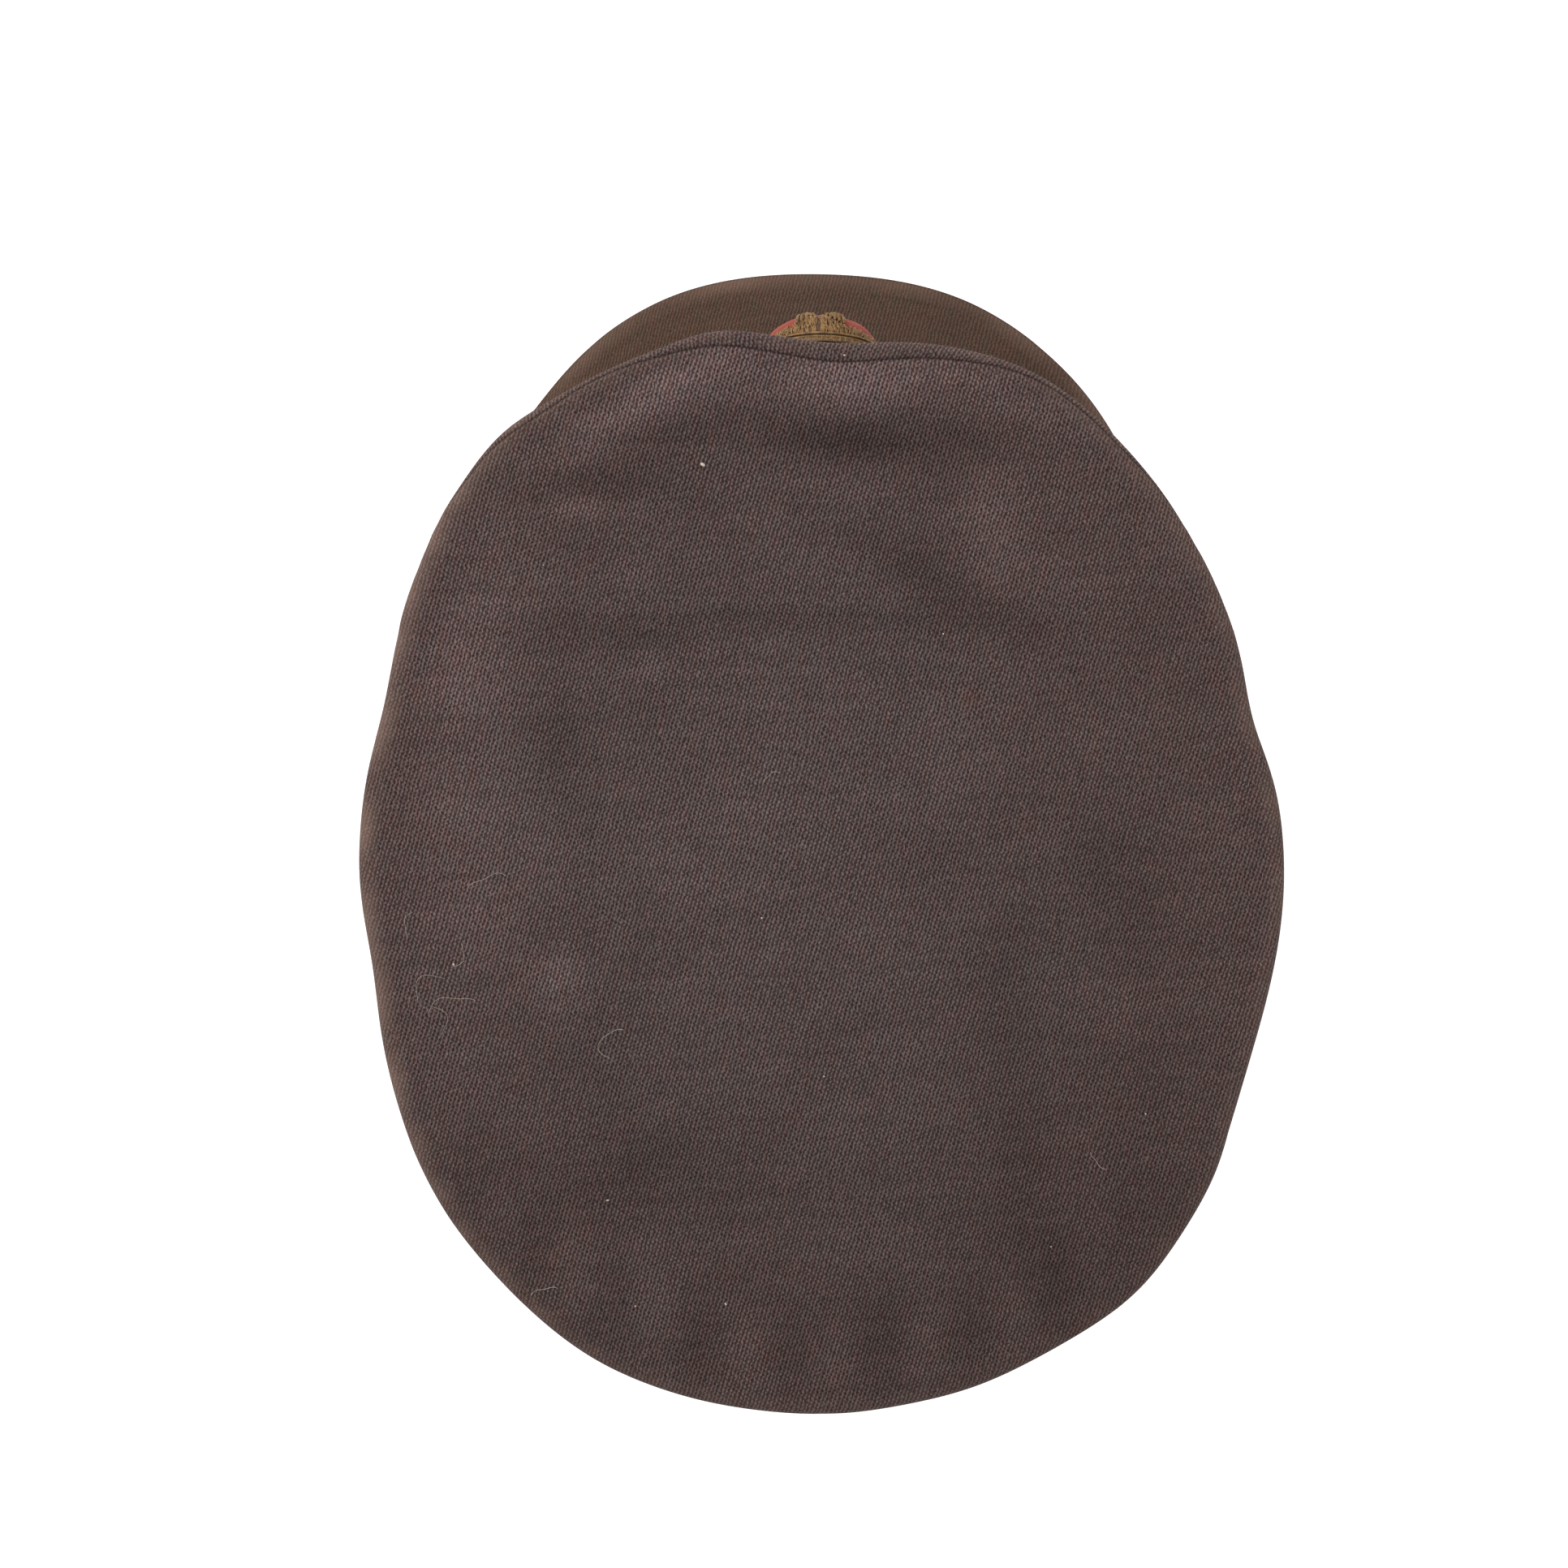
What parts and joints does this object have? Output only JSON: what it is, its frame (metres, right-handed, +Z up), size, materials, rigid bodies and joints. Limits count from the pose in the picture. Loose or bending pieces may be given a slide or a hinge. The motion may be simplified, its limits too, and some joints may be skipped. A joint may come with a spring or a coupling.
{
  "type": "military peaked cap",
  "caption": "Soft-topped peaked cap in brown wool twill, with a cloth-covered peak, padded embroidered front badge, leather chin strap, side buttons and a lined head opening.",
  "frame": {"origin": "on the ground, under the middle of the bounding box of the cap as it stands on the edge of its peak and the back of its band", "axes": "+Z up, -Y the way the peak faces, +X the wearer's left; the head opening's plane is turned 8.65 degrees about X, up at the front"},
  "size_m": [0.236, 0.303, 0.1204],
  "materials": {
    "crown_cloth": "worn fine wool twill",
    "peak_cloth": "worn wool twill, stretched over a board",
    "board": "pressed fibreboard, matte",
    "peak_leathercloth": "grained, satin",
    "sweatband_leather": "smooth, worn, satin",
    "reed": "cane, matte",
    "ribbon": "silk ribbon, satin",
    "steel_wire": "drawn, satin",
    "brass": "aged, satin",
    "lining_cloth": "cotton satin",
    "clear_film": "clear, slightly yellowed",
    "badge_felt": "wool felt",
    "badge_red": "padded wool felt",
    "bullion": "metal thread embroidery, aged",
    "strap_leather": "polished, worn"
  },
  "bodies": {
    "cap": {"band_cloth": "crown_cloth", "band_stiffener": "board", "band_upper_welt": "crown_cloth", "band_lower_welt": "crown_cloth", "sweatband": "sweatband_leather", "sweatband_reed": "reed", "sweatband_bow": "ribbon", "crown_front_panel": "crown_cloth", "crown_rear_panel_left": "crown_cloth", "crown_rear_panel_right": "crown_cloth", "crown_top": "crown_cloth", "grommet_wire": "steel_wire", "grommet_ferrule": "brass", "front_stay": "steel_wire", "lining_side": "lining_cloth", "lining_top": "lining_cloth", "sweat_shield": "clear_film", "peak_cover": "peak_cloth", "peak_core": "board", "peak_lining": "peak_leathercloth", "badge_backing": "badge_felt", "badge_dome": "badge_red", "badge_border": "bullion", "badge_bars": "bullion", "badge_pins": "brass", "button_eyelet_left": "brass", "button_eyelet_right": "brass"},
    "chin_strap": {"chin_strap_inner": "strap_leather", "chin_strap_outer": "strap_leather"},
    "keeper_left": {"keeper_left": "strap_leather"},
    "keeper_right": {"keeper_right": "strap_leather"},
    "button_left": {"button_front_left": "brass", "button_back_left": "brass", "button_retainer_left": "brass"},
    "button_right": {"button_front_right": "brass", "button_back_right": "brass", "button_retainer_right": "brass"}
  },
  "joints": [
    {"name": "chin_strap_swing", "type": "hinge", "parent": "cap", "child": "chin_strap", "pos_m": [0, -0.04385, 0.03188], "axis": [-1, 0, 0], "range_deg": [0, 6]},
    {"name": "keeper_left_slide", "type": "hinge", "parent": "chin_strap", "child": "keeper_left", "pos_m": [0, -0.04466, 0.032], "axis": [0, 0.1504, 0.9886], "range_deg": [-10, 7]},
    {"name": "keeper_right_slide", "type": "hinge", "parent": "chin_strap", "child": "keeper_right", "pos_m": [0, -0.04466, 0.032], "axis": [0, 0.1504, 0.9886], "range_deg": [-7, 10]},
    {"name": "button_left_turn", "type": "hinge", "parent": "cap", "child": "button_left", "pos_m": [0.08304, -0.04385, 0.03188], "axis": [0.9563, -0.289, 0.044], "continuous": true},
    {"name": "button_right_turn", "type": "hinge", "parent": "cap", "child": "button_right", "pos_m": [-0.08304, -0.04385, 0.03188], "axis": [-0.9563, -0.289, 0.044], "continuous": true}
  ]
}
